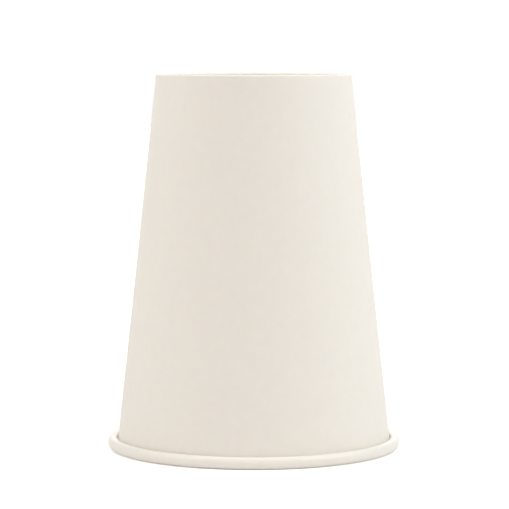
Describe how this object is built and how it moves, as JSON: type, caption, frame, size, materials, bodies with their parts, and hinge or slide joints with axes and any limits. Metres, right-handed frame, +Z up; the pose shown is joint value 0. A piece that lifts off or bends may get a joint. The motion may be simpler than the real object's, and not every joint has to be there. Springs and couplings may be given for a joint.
{
  "type": "tapered paper cup",
  "caption": "Tapered single-wall paper cup with a rolled rim, a lapped side seam and a recessed base disc, stood mouth down.",
  "frame": {"origin": "centre of the cup's axis at the lowest circle of the rolled rim, which the cup stands on", "axes": "+Z up along the cup's axis from the mouth to the foot, the glued side lap at the back on +Y"},
  "size_m": [0.09, 0.09, 0.1149],
  "materials": {
    "wall_board": "smooth uncoated white board, faintly warm",
    "base_board": "smooth uncoated white board, faintly warm"
  },
  "bodies": {
    "root": {"sidewall": "wall_board", "base_disc": "base_board"}
  },
  "joints": []
}
